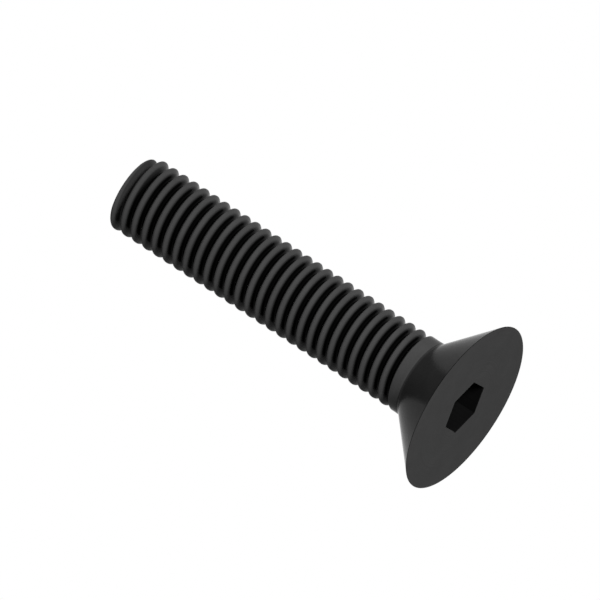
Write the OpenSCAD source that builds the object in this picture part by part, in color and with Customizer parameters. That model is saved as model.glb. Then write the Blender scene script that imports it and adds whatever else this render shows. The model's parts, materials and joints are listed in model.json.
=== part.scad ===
// Countersunk screw with a hexagon socket, M8 x 40, threaded to the head.
// It stands on its flat head: the origin is the centre of the head's face and +Z runs to the tip.

/* [Head] */
// Diameter of the head where its cone would come to a sharp edge
head_d = 17.92; // [16:0.02:20]
// Full angle of the head's cone, which is that of its countersink
head_angle = 90; // [80:1:100]
// Width of the narrow land that blunts the edge of the head
edge_land = 0.04; // [0.02:0.01:0.3]
// Radius of the fillet where the cone meets the neck
neck_fillet = 0.4; // [0.1:0.05:0.8]

/* [Socket] */
// Width of the hexagon socket across its flats
socket_af = 5; // [4:0.1:6]
// Depth of the socket's flats below the head's face
socket_depth = 3; // [2:0.1:3.5]
// Full angle of the drill point at the bottom of the socket
socket_point_angle = 120; // [100:1:140]

/* [Shank] */
// Overall length of the screw, head included
screw_l = 40; // [25:1:50]
// Nominal diameter, which is that of the plain neck under the head
nominal_d = 8; // [7:0.1:9]
// Length of the plain neck, from where the cone would meet it to the start of the thread
neck_l = 0.7; // [0.5:0.05:3]
// Width of the chamfer round the end of the shank
tip_chamfer = 0.1; // [0.05:0.05:0.6]

/* [Thread] */
// Distance from one turn of the thread to the next
thread_pitch = 1.25; // [1:0.05:1.5]
// Full angle between the flanks of the groove
thread_angle = 60; // [50:1:70]
// Width of the crest as a share of the pitch
crest_share = 0.125; // [0.1:0.005:0.2]
// Width of the root as a share of the pitch
root_share = 0.1667; // [0.1:0.0001:0.25]
// How far the crest lies inside the nominal diameter, as the thread's tolerance allows
crest_allowance = 0.04; // [0.02:0.01:0.2]
// Share of a turn over which the groove deepens from nothing at the neck
runout_turns = 0.25; // [0.1:0.05:1]
// Direction round the axis, from +X, in which the groove begins
thread_start_angle = 120; // [0:5:355]
// Flat facets in one turn of the thread
thread_facets = 36; // [24:4:40]

/* [Hidden] */
finish = [0.17, 0.17, 0.175];
// Facets drawn round a turned face
round_facets = 96;
// How far one solid is sunk into another that it is joined to
sink = 0.3;
// How far the socket's drill point stays inside its flats
drill_clearance = 0.05;

neck_r = nominal_d / 2;
head_half_angle = head_angle / 2;
rim_r = head_d / 2 - edge_land;
rim_h = edge_land / tan(head_half_angle);
// Height of the head, down to where its cone would meet the neck
head_h = (head_d / 2 - neck_r) / tan(head_half_angle);

// The fillet touches the cone and the neck at the same distance from where the two would meet
fillet_reach = neck_fillet * tan(head_half_angle / 2);
fillet_centre = [neck_r + neck_fillet, head_h + fillet_reach];
cone_touch = [neck_r + fillet_reach * sin(head_half_angle), head_h - fillet_reach * cos(head_half_angle)];
neck_touch = [neck_r, fillet_centre.y];

thread_z = head_h + neck_l;
crest_r = neck_r - crest_allowance / 2;
flank_w = thread_pitch * (1 - crest_share - root_share) / 2;
groove_depth = flank_w / tan(thread_angle / 2);
crest_w = thread_pitch * crest_share;
root_w = thread_pitch * root_share;
// Each corner of the profile: its place along the axis, and its share of the groove's depth
PROFILE = [[0, 0], [crest_w, 0], [crest_w + flank_w, 1], [crest_w + flank_w + root_w, 1]];
corners = len(PROFILE);

runout_steps = ceil(runout_turns * thread_facets);
full_steps = ceil((screw_l - thread_z) / thread_pitch * thread_facets);
last_step = full_steps + runout_steps;
thread_bottom = thread_z - sink;
// The blank runs on past the last step, which is cut off at the tip
spare_turns = 2;
thread_top = thread_z + thread_pitch * (last_step / thread_facets + spare_turns);

// The groove's depth at a step, as a share: it grows from nothing and dies out past the tip
function groove_share(step) =
    min(1, min(step, last_step - step) / runout_steps);

function on_helix(step, corner) =
    let (turned = 360 * (step % thread_facets) / thread_facets)
    let (radius = crest_r - groove_depth * corner[1] * max(0, groove_share(step)))
    [
        radius * cos(turned),
        radius * sin(turned),
        thread_z + thread_pitch * step / thread_facets + corner[0]
    ];

function ring_point(k, z) =
    [crest_r * cos(360 * k / thread_facets), crest_r * sin(360 * k / thread_facets), z];

// Index of a corner at a step: the corner after the last is the first one, a turn further on
function at(step, c) =
    c == corners ? at(step + thread_facets, 0)
    : step <= last_step ? step * corners + c
    : (last_step + 1) * corners + (step - last_step - 1);

first_low = (last_step + 1) * corners + thread_facets;
first_high = first_low + thread_facets;
function low(k) = first_low + k % thread_facets;
function high(k) = first_high + k % thread_facets;

// The threaded stretch as one closed skin that winds up the helix
module thread_blank() {
    helix_points = [
        for (step = [0 : last_step], corner = PROFILE) on_helix(step, corner),
        for (step = [last_step + 1 : last_step + thread_facets]) on_helix(step, PROFILE[0])
    ];
    ring_points = [
        for (k = [0 : thread_facets - 1]) ring_point(k, thread_bottom),
        for (k = [0 : thread_facets - 1]) ring_point(k + last_step, thread_top)
    ];
    helix_faces = [
        for (step = [0 : last_step - 1], c = [0 : corners - 1], upper = [false, true])
            upper ? [at(step, c), at(step, c + 1), at(step + 1, c + 1)]
            : [at(step, c), at(step + 1, c + 1), at(step + 1, c)]
    ];
    low_faces = [
        for (k = [0 : thread_facets - 2]) [low(k), at(k, 0), at(k + 1, 0), low(k + 1)],
        [
            low(thread_facets - 1),
            at(thread_facets - 1, 0),
            for (c = [corners : -1 : 0]) at(0, c),
            low(0)
        ]
    ];
    high_faces = [
        [
            at(last_step + 1, 0),
            for (c = [0 : corners]) at(last_step, c),
            high(0),
            high(1)
        ],
        for (k = [1 : thread_facets - 1])
            [at(last_step + k, 0), high(k), high(k + 1), at(last_step + k + 1, 0)]
    ];
    end_faces = [
        [for (k = [0 : thread_facets - 1]) low(k)],
        [for (k = [thread_facets - 1 : -1 : 0]) high(k)]
    ];
    polyhedron(
        points = concat(helix_points, ring_points),
        faces = concat(helix_faces, low_faces, high_faces, end_faces)
    );
}

// What is cut off at the tip: all beyond the screw's length, and the chamfer's ring
module tip_cut() {
    tip_r = crest_r - tip_chamfer;
    cut_r = neck_r + sink;
    rotate_extrude($fn = round_facets)
        polygon([
            [0, screw_l],
            [tip_r, screw_l],
            [cut_r, screw_l - (cut_r - tip_r)],
            [cut_r, thread_top + sink],
            [0, thread_top + sink]
        ]);
}

module thread() {
    difference() {
        rotate([0, 0, thread_start_angle])
            thread_blank();
        tip_cut();
    }
}

// The head and the plain neck, turned in one
module turned_head() {
    rotate_extrude($fn = round_facets)
        difference() {
            polygon([
                [0, 0],
                [rim_r, 0],
                [rim_r, rim_h],
                cone_touch,
                fillet_centre,
                neck_touch,
                [neck_r, thread_z],
                [0, thread_z]
            ]);
            translate(fillet_centre)
                circle(r = neck_fillet, $fn = round_facets);
        }
}

// The flats of the socket, and the drill point below them, which stays just inside the flats
module hex_socket() {
    drill_r = socket_af / 2 - drill_clearance;
    translate([0, 0, -sink])
        rotate([0, 0, 30])
            cylinder(h = socket_depth + sink, d = socket_af / cos(30), $fn = 6);
    rotate_extrude($fn = round_facets)
        polygon([
            [0, socket_depth - sink],
            [drill_r, socket_depth - sink],
            [drill_r, socket_depth],
            [0, socket_depth + drill_r / tan(socket_point_angle / 2)]
        ]);
}

module countersunk_screw() {
    color(finish)
        union() {
            difference() {
                turned_head();
                hex_socket();
            }
            thread();
        }
}

countersunk_screw();
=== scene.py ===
import json
import math

import bmesh
import bpy
from mathutils import Matrix, Vector


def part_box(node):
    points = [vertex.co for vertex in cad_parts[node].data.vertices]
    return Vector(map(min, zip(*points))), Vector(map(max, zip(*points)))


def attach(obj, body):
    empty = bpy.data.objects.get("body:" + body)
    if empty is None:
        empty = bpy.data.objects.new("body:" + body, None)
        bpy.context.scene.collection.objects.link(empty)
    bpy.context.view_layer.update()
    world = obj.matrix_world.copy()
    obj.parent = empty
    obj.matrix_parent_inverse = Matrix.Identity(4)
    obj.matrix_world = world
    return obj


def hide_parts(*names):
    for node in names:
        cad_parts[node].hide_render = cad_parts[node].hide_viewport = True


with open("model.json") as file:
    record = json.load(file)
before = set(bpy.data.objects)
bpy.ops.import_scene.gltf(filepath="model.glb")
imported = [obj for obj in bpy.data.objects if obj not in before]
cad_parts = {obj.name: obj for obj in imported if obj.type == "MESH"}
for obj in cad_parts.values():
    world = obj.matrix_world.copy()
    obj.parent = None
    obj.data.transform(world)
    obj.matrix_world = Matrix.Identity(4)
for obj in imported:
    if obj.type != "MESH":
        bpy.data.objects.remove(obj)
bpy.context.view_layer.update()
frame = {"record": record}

# The head and the neck, forged and turned at the end of a rod of alloy steel that is the whole
# screw. A flat face carries a 90 degree cone, which runs through a small fillet into a plain neck.
# The finish is black oxide: dark and nearly even, with a fine grain and faint rings from the lathe.
MM = 0.001
NODE = "countersunk_screw"
CONE_SLOPE = math.radians(45)
RIM_LAND = 0.04 * MM
NECK_FILLET = 0.4 * MM
NECK_LENGTH = 0.7 * MM
CREST_ALLOWANCE = 0.02 * MM
SOCKET_WIDTH = 5 * MM
MOUTH_CHAMFER = 0.05 * MM
COLUMNS = 96
FACE_RINGS = 5
CONE_RINGS = 12
FILLET_RINGS = 8
TURNED, SOCKET, ROLLED = range(3)
low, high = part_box(NODE)
screw_length = high.z - low.z
rim_radius = (high.x - low.x) / 2
neck_mount = next(m for m in frame["record"]["mounts"] if m["name"] == "neck")
neck_radius = neck_mount["dims"]["r_mm"] * MM
head_height = RIM_LAND + (rim_radius - neck_radius) / math.tan(CONE_SLOPE)
thread_start = head_height + NECK_LENGTH
crest_radius = neck_radius - CREST_ALLOWANCE


def round_ring(radius, height):
    """One ring of points round the axis."""
    turns = [2 * math.pi * k / COLUMNS for k in range(COLUMNS)]
    return [Vector((radius * math.cos(a), radius * math.sin(a), height)) for a in turns]


def hexagon_ring(width, height):
    """One ring of points on a hexagon with that width across its flats, two of which face X."""
    side = math.radians(60)
    ring = []
    for k in range(COLUMNS):
        a = 2 * math.pi * k / COLUMNS
        from_flat = a - side * round(a / side)
        radius = width / 2 / math.cos(from_flat)
        ring.append(Vector((radius * math.cos(a), radius * math.sin(a), height)))
    return ring


def between(first, last, count):
    """Rings spaced evenly from one ring to another, without the first."""
    shares = [k / count for k in range(1, count + 1)]
    return [[a.lerp(b, share) for a, b in zip(first, last)] for share in shares]


def skin(mesh, rings, finish):
    """Faces from each ring to the next, in one finish. Gives back the last ring's vertices."""
    rows = [[mesh.verts.new(point) for point in ring] for ring in rings]
    for row, next_row in zip(rows, rows[1:]):
        for k in range(COLUMNS):
            step = (k + 1) % COLUMNS
            mesh.faces.new((row[k], row[step], next_row[step], next_row[k])).material_index = finish
    return rows[-1]


def neck_arc():
    """The rings of the fillet, from the cone to the neck."""
    centre_radius = neck_radius + NECK_FILLET
    centre_height = head_height + NECK_FILLET * math.tan(CONE_SLOPE / 2)
    arc = []
    for k in range(FILLET_RINGS + 1):
        a = math.pi + CONE_SLOPE * (1 - k / FILLET_RINGS)
        radius = centre_radius + NECK_FILLET * math.cos(a)
        height = centre_height + NECK_FILLET * math.sin(a)
        arc.append(round_ring(radius, height))
    return arc


# The rim is a narrow blunt land with both its edges broken, as dark as the socket.
screw = bmesh.new()
groove_layer = screw.verts.layers.float.new("groove")
mouth = hexagon_ring(SOCKET_WIDTH + 2 * MOUTH_CHAMFER, 0)
half_land = RIM_LAND / 2
rim = [
    round_ring(rim_radius - half_land, 0),
    round_ring(rim_radius, half_land),
    round_ring(rim_radius, RIM_LAND),
    round_ring(rim_radius - half_land, RIM_LAND + half_land),
]
arc = neck_arc()
neck = [arc[-1], round_ring(crest_radius, thread_start)]
skin(screw, [mouth] + between(mouth, rim[0], FACE_RINGS), TURNED)
skin(screw, rim, SOCKET)
skin(screw, [rim[-1]] + between(rim[-1], arc[0], CONE_RINGS) + arc[1:], TURNED)
skin(screw, neck, ROLLED)


def put(tree, kind, values=None, **settings):
    """A new node, with its inputs set to plain values or joined to other nodes' outputs."""
    node = tree.nodes.new(kind)
    for name, setting in settings.items():
        setattr(node, name, setting)
    for socket, value in (values or {}).items():
        if isinstance(value, bpy.types.NodeSocket):
            tree.links.new(value, node.inputs[socket])
        else:
            node.inputs[socket].default_value = value
    return node


def calc(tree, operation, *values):
    """The output of a new Math node."""
    return put(tree, "ShaderNodeMath", dict(enumerate(values)), operation=operation).outputs[0]


def effect_group(name, numbers, outputs):
    """A shader node group that takes a place and named numbers, with its input and output sockets."""
    group = bpy.data.node_groups.new(name, "ShaderNodeTree")
    group.interface.new_socket("Place", in_out="INPUT", socket_type="NodeSocketVector")
    for number in numbers:
        group.interface.new_socket(number, in_out="INPUT", socket_type="NodeSocketFloat")
    for output in outputs:
        group.interface.new_socket(output, in_out="OUTPUT", socket_type="NodeSocketFloat")
    return group, group.nodes.new("NodeGroupInput").outputs, group.nodes.new("NodeGroupOutput").inputs


def noise(tree, size, detail, place):
    """How far a noise with cells of that size lies above or below its middle, from -1 to 1."""
    values = {"Scale": calc(tree, "DIVIDE", 1, size), "Detail": detail, **place}
    dimensions = "1D" if "W" in place else "3D"
    grain = put(tree, "ShaderNodeTexNoise", values, noise_dimensions=dimensions)
    return calc(tree, "MULTIPLY", calc(tree, "SUBTRACT", grain.outputs["Fac"], 0.5), 2)


GRAIN_SHARE = 0.6
CLOUD_SHARE = 0.8
MARK_COVER = 0.5


def oxide_grain_group():
    """Black oxide: a fine crystal grain, and clouds where the bath took a little more or less."""
    numbers = ("Grain Size", "Cloud Size", "Tone Spread", "Roughness", "Roughness Spread")
    group, given, result = effect_group("oxide_grain", numbers, ("Tone", "Roughness", "Height"))
    grain = noise(group, given["Grain Size"], detail=2, place={"Vector": given["Place"]})
    cloud = noise(group, given["Cloud Size"], detail=3, place={"Vector": given["Place"]})
    mottle = calc(group, "MULTIPLY_ADD", grain, GRAIN_SHARE, calc(group, "MULTIPLY", cloud, CLOUD_SHARE))
    rough = calc(group, "MULTIPLY_ADD", mottle, given["Roughness Spread"], given["Roughness"])
    group.links.new(calc(group, "MULTIPLY_ADD", mottle, given["Tone Spread"], 1), result["Tone"])
    group.links.new(rough, result["Roughness"])
    group.links.new(grain, result["Height"])
    return group


def tool_marks_group():
    """Fine lines that a tool left side by side across a direction, which come and go."""
    numbers = ("Across", "Spacing", "Patch Size", "Tone Spread")
    group, given, result = effect_group("tool_marks", numbers, ("Tone", "Height"))
    lines = noise(group, given["Spacing"], detail=1, place={"W": given["Across"]})
    patch = noise(group, given["Patch Size"], detail=2, place={"Vector": given["Place"]})
    strength = calc(group, "MAXIMUM", calc(group, "ADD", patch, MARK_COVER), 0)
    marks = calc(group, "MULTIPLY", lines, strength)
    group.links.new(calc(group, "MULTIPLY_ADD", marks, given["Tone Spread"], 1), result["Tone"])
    group.links.new(marks, result["Height"])
    return group


OXIDE_GRAIN = oxide_grain_group()
TOOL_MARKS = tool_marks_group()
GRAIN_SIZE = 0.13 * MM
CLOUD_SIZE = 2.5 * MM
PATCH_SIZE = 3 * MM
GRAIN_HEIGHT = 0.003 * MM
MARK_HEIGHT = 0.002 * MM
GLOSS = 0.0155
ROUGHNESS = 0.1
ROUGHNESS_SPREAD = 0.03


def black_oxide(name, colour, lean, spacing, tone_spread, shade=None):
    """A black oxide finish. Its tool marks lie side by side outwards and, with lean 1, down the cone."""
    material = bpy.data.materials.new(name)
    material.use_nodes = True
    tree = material.node_tree
    shader = tree.nodes["Principled BSDF"]
    shader.inputs["Specular IOR Level"].default_value = GLOSS
    place = put(tree, "ShaderNodeTexCoord").outputs["Object"]
    flat = put(tree, "ShaderNodeVectorMath", {0: place, 1: (1, 1, 0)}, operation="MULTIPLY").outputs[0]
    from_axis = put(tree, "ShaderNodeVectorMath", {0: flat}, operation="LENGTH").outputs["Value"]
    height = put(tree, "ShaderNodeSeparateXYZ", {0: place}).outputs["Z"]
    grain_values = {
        "Place": place,
        "Grain Size": GRAIN_SIZE,
        "Cloud Size": CLOUD_SIZE,
        "Tone Spread": tone_spread,
        "Roughness": ROUGHNESS,
        "Roughness Spread": ROUGHNESS_SPREAD,
    }
    mark_values = {
        "Place": place,
        "Across": calc(tree, "MULTIPLY_ADD", height, -lean, from_axis),
        "Spacing": spacing,
        "Patch Size": PATCH_SIZE,
        "Tone Spread": tone_spread,
    }
    grain = put(tree, "ShaderNodeGroup", grain_values, node_tree=OXIDE_GRAIN).outputs
    marks = put(tree, "ShaderNodeGroup", mark_values, node_tree=TOOL_MARKS).outputs

    tone = calc(tree, "MULTIPLY", grain["Tone"], marks["Tone"])
    if shade:
        tone = calc(tree, "MULTIPLY", tone, shade(tree, height))
    paint_values = {0: (colour, colour, colour), "Scale": tone}
    paint = put(tree, "ShaderNodeVectorMath", paint_values, operation="SCALE").outputs[0]
    grain_bump = {"Height": grain["Height"], "Distance": GRAIN_HEIGHT}
    relief = put(tree, "ShaderNodeBump", grain_bump).outputs[0]
    mark_bump = {"Height": marks["Height"], "Distance": MARK_HEIGHT, "Normal": relief}
    relief = put(tree, "ShaderNodeBump", mark_bump).outputs[0]
    tree.links.new(paint, shader.inputs["Base Color"])
    tree.links.new(grain["Roughness"], shader.inputs["Roughness"])
    tree.links.new(relief, shader.inputs["Normal"])
    return material


# The lathe's rings lie side by side all the way out over the face and back up the cone. Its colour is
# about half the rolled finish's: the same oxide in a copy darkened as painted shade.
turned_finish = black_oxide(
    "black_oxide_turned", colour=0.029, lean=1, spacing=0.12 * MM, tone_spread=0.3
)

# The socket, a hexagon 5 mm wide and 3 mm deep that a punch pressed into a drilled hole. The cone
# left by the drill's point shows at its bottom. Its colour is painted much darker than the rest, as
# painted shade for the deep recess, and the punch's lines run down its walls.
SOCKET_DEPTH = 3 * MM
DRILL_RADIUS = 2.45 * MM
DRILL_SLOPE = math.radians(60)
POINT_RADIUS = 0.02 * MM
WALL_RINGS = 4
point_height = SOCKET_DEPTH + DRILL_RADIUS / math.tan(DRILL_SLOPE)
wall_top = hexagon_ring(SOCKET_WIDTH, MOUTH_CHAMFER)
wall_foot = hexagon_ring(SOCKET_WIDTH, SOCKET_DEPTH)
drill_mouth = round_ring(DRILL_RADIUS, SOCKET_DEPTH)
drill_point = round_ring(POINT_RADIUS, point_height)
skin(screw, [mouth, wall_top] + between(wall_top, wall_foot, WALL_RINGS), SOCKET)
bottom = [wall_foot, drill_mouth] + between(drill_mouth, drill_point, WALL_RINGS)
bmesh.ops.pointmerge(screw, verts=skin(screw, bottom, SOCKET), merge_co=(0, 0, point_height))
socket_finish = black_oxide(
    "black_oxide_socket", colour=0.0045, lean=0, spacing=0.04 * MM, tone_spread=0.3
)

# The threaded shank: an M8 thread rolled into the same rod, right hand, 1.25 mm to a turn.
# One groove with 60 degree flanks winds from the plain neck to the end, which is cut off square
# with its edge just broken. The surface is one strip that follows the helix, turn beside turn.
PITCH = 1.25 * MM
CREST_SHARE = 1 / 8
ROOT_SHARE = 1 / 6
FLANK_SLOPE = math.radians(30)
TIP_CHAMFER = 0.1 * MM
LEAD_IN_TURNS = 2
WELD = 0.001 * MM
CUT_TOLERANCE = 0.0001 * MM
flank_width = PITCH * (1 - CREST_SHARE - ROOT_SHARE) / 2
shank_turns = math.ceil((screw_length - thread_start) / PITCH)
thread_inputs = {
    "Pitch": PITCH,
    "Crest Radius": crest_radius,
    "Groove Depth": flank_width / math.tan(FLANK_SLOPE),
    "Crest Width": PITCH * CREST_SHARE,
    "Flank Width": flank_width,
    "Crest Rounding": 0.04,
    "Root Rounding": 0.25,
    "Start Height": thread_start,
    "Start Angle": math.radians(120),
    "Run-out Turns": 0.25,
    "End Height": screw_length,
    "End Radius": crest_radius - TIP_CHAMFER,
    "Lead-in Turns": LEAD_IN_TURNS,
    "Turns": LEAD_IN_TURNS + shank_turns,
    "Rows": 24,
    "Columns": COLUMNS,
}


def thread_tree(finish):
    """A node tree that bends a flat grid into the thread: columns run round it and rows along it."""
    tree = bpy.data.node_groups.new("rolled_thread", "GeometryNodeTree")
    for name, value in thread_inputs.items():
        kind = "NodeSocketInt" if isinstance(value, int) else "NodeSocketFloat"
        tree.interface.new_socket(name, in_out="INPUT", socket_type=kind)
    tree.interface.new_socket("Geometry", in_out="OUTPUT", socket_type="NodeSocketGeometry")
    given = tree.nodes.new("NodeGroupInput").outputs

    # Where each point of the grid goes: how far round, in which turn, and how far across its groove.
    around = calc(tree, "ADD", given["Columns"], 1)
    rows = calc(tree, "MULTIPLY", given["Turns"], given["Rows"])
    along = calc(tree, "ADD", rows, 1)
    grid_sizes = {"Size X": 1, "Size Y": 1, "Vertices X": around, "Vertices Y": along}
    grid = put(tree, "GeometryNodeMeshGrid", grid_sizes).outputs["Mesh"]
    on_grid = put(tree, "ShaderNodeSeparateXYZ", {0: put(tree, "GeometryNodeInputPosition").outputs[0]})
    round_share = calc(tree, "ADD", on_grid.outputs["X"], 0.5)
    row = calc(tree, "ROUND", calc(tree, "MULTIPLY", calc(tree, "ADD", on_grid.outputs["Y"], 0.5), rows))
    turn = calc(tree, "FLOOR", calc(tree, "DIVIDE", calc(tree, "ADD", row, 0.5), given["Rows"]))
    phase = calc(tree, "SUBTRACT", calc(tree, "DIVIDE", row, given["Rows"]), turn)
    groove_turn = calc(tree, "ADD", calc(tree, "SUBTRACT", turn, given["Lead-in Turns"]), round_share)

    # The groove's depth, from 0 on the crest to 1 in the root. It grows over the first part of a turn.
    crest_half = calc(tree, "DIVIDE", given["Crest Width"], 2)
    from_root = calc(tree, "ABSOLUTE", calc(tree, "SUBTRACT", phase, 0.5))
    from_crest = calc(tree, "MULTIPLY", calc(tree, "SUBTRACT", 0.5, from_root), given["Pitch"])
    down = calc(tree, "DIVIDE", calc(tree, "SUBTRACT", from_crest, crest_half), given["Flank Width"])
    down = calc(tree, "SMOOTH_MAX", down, 0, given["Crest Rounding"])
    down = calc(tree, "SMOOTH_MIN", down, 1, given["Root Rounding"])
    begun = calc(tree, "DIVIDE", groove_turn, given["Run-out Turns"])
    begun = calc(tree, "MINIMUM", calc(tree, "MAXIMUM", begun, 0), 1)
    groove = calc(tree, "MULTIPLY", down, begun)

    # The point's place. What comes before the start lies on the neck's end, and a chamfer narrows
    # the end. Past the end the strip narrows to half, and is cut off later.
    climb = calc(tree, "MULTIPLY", calc(tree, "ADD", groove_turn, phase), given["Pitch"])
    height = calc(tree, "ADD", calc(tree, "ADD", climb, crest_half), given["Start Height"])
    height = calc(tree, "MAXIMUM", height, given["Start Height"])
    depth = calc(tree, "MULTIPLY", groove, given["Groove Depth"])
    radius = calc(tree, "SUBTRACT", given["Crest Radius"], depth)
    chamfer = calc(tree, "ADD", given["End Radius"], calc(tree, "SUBTRACT", given["End Height"], height))
    narrowest = calc(tree, "DIVIDE", given["End Radius"], 2)
    radius = calc(tree, "MINIMUM", radius, calc(tree, "MAXIMUM", chamfer, narrowest))
    angle = calc(tree, "MULTIPLY_ADD", round_share, 2 * math.pi, given["Start Angle"])
    x = calc(tree, "MULTIPLY", radius, calc(tree, "COSINE", angle))
    y = calc(tree, "MULTIPLY", radius, calc(tree, "SINE", angle))
    bent = put(tree, "ShaderNodeCombineXYZ", {"X": x, "Y": y, "Z": height}).outputs[0]

    marked = put(
        tree,
        "GeometryNodeStoreNamedAttribute",
        {"Geometry": grid, "Name": "groove", "Value": groove},
        data_type="FLOAT",
        domain="POINT",
    )
    moved = put(tree, "GeometryNodeSetPosition", {"Geometry": marked.outputs[0], "Position": bent})
    welded = put(tree, "GeometryNodeMergeByDistance", {"Geometry": moved.outputs[0], "Distance": WELD})
    real = put(tree, "GeometryNodeRealizeInstances", {"Geometry": welded.outputs[0]})
    painted = put(tree, "GeometryNodeSetMaterial", {"Geometry": real.outputs[0], "Material": finish})
    tree.links.new(painted.outputs[0], tree.nodes.new("NodeGroupOutput").inputs[0])
    return tree


CREST_TONE = 0.92
CREST_EDGE = 0.02
FLANK_EDGE = 0.08
ROOT_TONE = 0.02
SHADE_START = 0.28
SHADE_END = 0.76
OPEN_END_TONE = 0.55
OPEN_END_START = screw_length - 1.8 * MM
OPEN_END_FULL = screw_length - 1.1 * MM


def soft_step(tree, value, start, end, start_tone, end_tone, curve="SMOOTHSTEP"):
    """A tone that changes softly from one to another while the value goes from start to end."""
    limits = {"From Min": start, "From Max": end, "To Min": start_tone, "To Max": end_tone}
    return put(tree, "ShaderNodeMapRange", {"Value": value, **limits}, interpolation_type=curve).outputs[0]


# The root's black is mostly painted shade, as falls deep in the groove; a real root's oil darkens it only
# a little. By the open end, where light reaches into the last turn, it lifts to grey.
def groove_painted_shade(tree, height):
    """The tone by depth: darker on the crest, painted shade black in the root, grey by the open end."""
    depth = put(tree, "ShaderNodeAttribute", attribute_name="groove").outputs["Fac"]
    crest = soft_step(tree, depth, CREST_EDGE, FLANK_EDGE, CREST_TONE, 1)
    root = soft_step(tree, depth, SHADE_START, SHADE_END, 1, ROOT_TONE)
    open_end = soft_step(tree, height, OPEN_END_START, OPEN_END_FULL, 0, OPEN_END_TONE)
    return calc(tree, "MULTIPLY", crest, calc(tree, "MAXIMUM", root, open_end))


# The rolling die's lines follow the helix along both flanks. Its colour is about twice the turned
# finish's: the same oxide in a copy lightened as painted light.
rolled_finish = black_oxide(
    "black_oxide_rolled", colour=0.061, lean=0, spacing=0.05 * MM, tone_spread=0.2, shade=groove_painted_shade
)
former = bpy.data.objects.new("thread_former", bpy.data.meshes.new("thread_former"))
bpy.context.scene.collection.objects.link(former)
bend = former.modifiers.new("thread", "NODES")
bend.node_group = thread_tree(rolled_finish)
for item in bend.node_group.interface.items_tree:
    if item.in_out == "INPUT":
        bend[item.identifier] = thread_inputs[item.name]
evaluated = former.evaluated_get(bpy.context.evaluated_depsgraph_get())
thread_mesh = bpy.data.meshes.new_from_object(evaluated)
bpy.data.objects.remove(former)

# The strip is cut off at the end, closed there with a flat face, and welded to the neck.
thread = bmesh.new()
thread.from_mesh(thread_mesh)
everything = thread.verts[:] + thread.edges[:] + thread.faces[:]
end_plane = {"plane_co": (0, 0, screw_length), "plane_no": (0, 0, 1)}
bmesh.ops.bisect_plane(thread, geom=everything, dist=CUT_TOLERANCE, clear_outer=True, **end_plane)
near_end = screw_length - WELD
end_edges = [e for e in thread.edges if e.is_boundary and all(v.co.z > near_end for v in e.verts)]
end_face = bmesh.ops.contextual_create(thread, geom=end_edges)["faces"]
bmesh.ops.poke(thread, faces=end_face)
thread_groove = thread.verts.layers.float["groove"]
copies = {v: screw.verts.new(v.co) for v in thread.verts}
for old, new in copies.items():
    new[groove_layer] = old[thread_groove]
for face in thread.faces:
    finish = TURNED if face.calc_center_median().z > near_end else ROLLED
    screw.faces.new([copies[v] for v in face.verts]).material_index = finish
thread.free()
bmesh.ops.remove_doubles(screw, verts=screw.verts, dist=WELD)
bmesh.ops.recalc_face_normals(screw, faces=screw.faces)

# The surface is shaded smooth, except where it turns sharply or its finish changes.
SHARP = math.radians(32)
for face in screw.faces:
    face.smooth = True
for edge in screw.edges:
    one_finish = len({face.material_index for face in edge.link_faces}) == 1
    edge.smooth = one_finish and edge.calc_face_angle() < SHARP
screw_mesh = bpy.data.meshes.new("screw")
for finish in (turned_finish, socket_finish, rolled_finish):
    screw_mesh.materials.append(finish)
screw.to_mesh(screw_mesh)
screw.free()
piece = bpy.data.objects.new("screw", screw_mesh)
bpy.context.scene.collection.objects.link(piece)
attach(piece, "root")
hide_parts(NODE)

# The floor, a pale sheet that the head stands on. It shows, with the screw's shadow, only from
# above: the main view looks up at the head's face, so from below there is nothing in its way.
# Away from the screw it fades into the white of the surround.
FLOOR_SIZE = 300 * MM
FLOOR_GAP = 0.02 * MM
FADE_START = 12 * MM
FADE_END = 80 * MM
PAPER_COLOUR = (0.9, 0.9, 0.9, 1)
WHITE_SHARE = 0.5
bpy.ops.mesh.primitive_plane_add(size=FLOOR_SIZE, location=(0, 0, -FLOOR_GAP))
floor = bpy.context.object
floor.name = "floor"
floor_finish = bpy.data.materials.new("pale_floor")
floor_finish.use_nodes = True
sheet = floor_finish.node_tree
sheet.nodes.clear()
is_camera = put(sheet, "ShaderNodeLightPath").outputs["Is Camera Ray"]
is_below = put(sheet, "ShaderNodeNewGeometry").outputs["Backfacing"]
from_above = calc(sheet, "MAXIMUM", calc(sheet, "SUBTRACT", is_camera, is_below), 0)
on_sheet = put(sheet, "ShaderNodeTexCoord").outputs["Object"]
from_screw = put(sheet, "ShaderNodeVectorMath", {0: on_sheet}, operation="LENGTH").outputs["Value"]
fade = soft_step(sheet, from_screw, FADE_START, FADE_END, 1, 0, curve="SMOOTHERSTEP")
shown = calc(sheet, "MULTIPLY", from_above, fade)
clear = put(sheet, "ShaderNodeBsdfTransparent").outputs[0]
paper = put(sheet, "ShaderNodeBsdfDiffuse", {"Color": PAPER_COLOUR}).outputs[0]
white = put(sheet, "ShaderNodeEmission").outputs[0]
pale = put(sheet, "ShaderNodeMixShader", {0: WHITE_SHARE, 1: paper, 2: white}).outputs[0]
mix = put(sheet, "ShaderNodeMixShader", {0: shown, 1: clear, 2: pale}).outputs[0]
put(sheet, "ShaderNodeOutputMaterial", {0: mix})
floor.data.materials.append(floor_finish)

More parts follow.
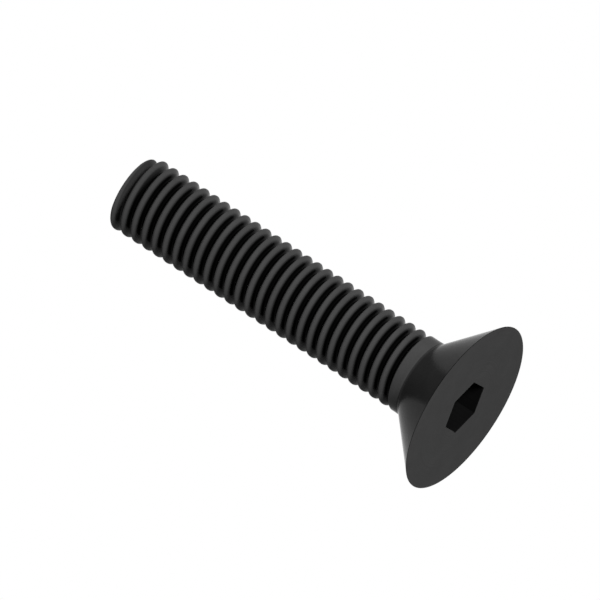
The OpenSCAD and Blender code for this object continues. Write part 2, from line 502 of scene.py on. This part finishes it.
# The light: a white surround that the camera and the gloss see, and that lights the screw only
# dimly, with a soft lamp before the head and three weaker ones beside and behind the shank.
# A lamp of level 1 lights a white face that looks straight at it to full white.
AMBIENT = 0.1
world = bpy.data.worlds.new("studio")
bpy.context.scene.world = world
world.use_nodes = True
surround = world.node_tree
path = put(surround, "ShaderNodeLightPath").outputs
seen = calc(surround, "MAXIMUM", path["Is Camera Ray"], path["Is Glossy Ray"])
seen = calc(surround, "MAXIMUM", seen, path["Is Transmission Ray"])
strength = put(surround, "ShaderNodeMapRange", {"Value": seen, "To Min": AMBIENT, "To Max": 1})
background = surround.nodes["Background"]
background.inputs["Color"].default_value = (1, 1, 1, 1)
surround.links.new(strength.outputs[0], background.inputs["Strength"])

screw_middle = Vector((0, 0, screw_length / 2))
LAMP_DISTANCE = 250 * MM
LAMPS = {
    "key": {"towards": (0.39, -0.74, -0.55), "size": 80 * MM, "level": 1.15},
    "right": {"towards": (0.85, 0.1, 0.5), "size": 150 * MM, "level": 0.3},
    "left": {"towards": (-0.85, 0.1, 0.5), "size": 150 * MM, "level": 0.2},
    "back": {"towards": (0.1, 0.8, 0.6), "size": 200 * MM, "level": 0.6},
}
for name, lamp in LAMPS.items():
    light = bpy.data.lights.new(name, "AREA")
    light.size = lamp["size"]
    light.energy = lamp["level"] * math.pi**2 * LAMP_DISTANCE**2
    holder = bpy.data.objects.new(name, light)
    holder.visible_glossy = False
    towards = Vector(lamp["towards"]).normalized()
    holder.location = screw_middle + LAMP_DISTANCE * towards
    holder.rotation_euler = towards.to_track_quat("Z", "Y").to_euler()
    bpy.context.scene.collection.objects.link(holder)

# The camera looks at the middle of the screw from the head's side, in parallel projection, and is
# turned so that the shank slopes across the picture.
PICTURE_WIDTH = 56.95 * MM
VIEW_AZIMUTH = math.radians(1.57)
VIEW_ELEVATION = math.radians(-21.02)
VIEW_ROLL = math.radians(-56.85)
CAMERA_DISTANCE = 300 * MM
NEAREST_SEEN = 1 * MM
FARTHEST_SEEN = 10
camera_data = bpy.data.cameras.new("camera")
camera_data.type = "ORTHO"
camera_data.ortho_scale = PICTURE_WIDTH
camera_data.clip_start = NEAREST_SEEN
camera_data.clip_end = FARTHEST_SEEN
camera = bpy.data.objects.new("camera", camera_data)
bpy.context.scene.collection.objects.link(camera)
turn_round = Matrix.Rotation(VIEW_AZIMUTH, 4, "Z")
tip_up = Matrix.Rotation(math.radians(90) - VIEW_ELEVATION, 4, "X")
roll = Matrix.Rotation(VIEW_ROLL, 4, "Z")
step_back = Matrix.Translation((0, 0, CAMERA_DISTANCE))
camera.matrix_world = Matrix.Translation(screw_middle) @ turn_round @ tip_up @ roll @ step_back
bpy.context.scene.camera = camera
bpy.context.scene.view_settings.view_transform = "Standard"
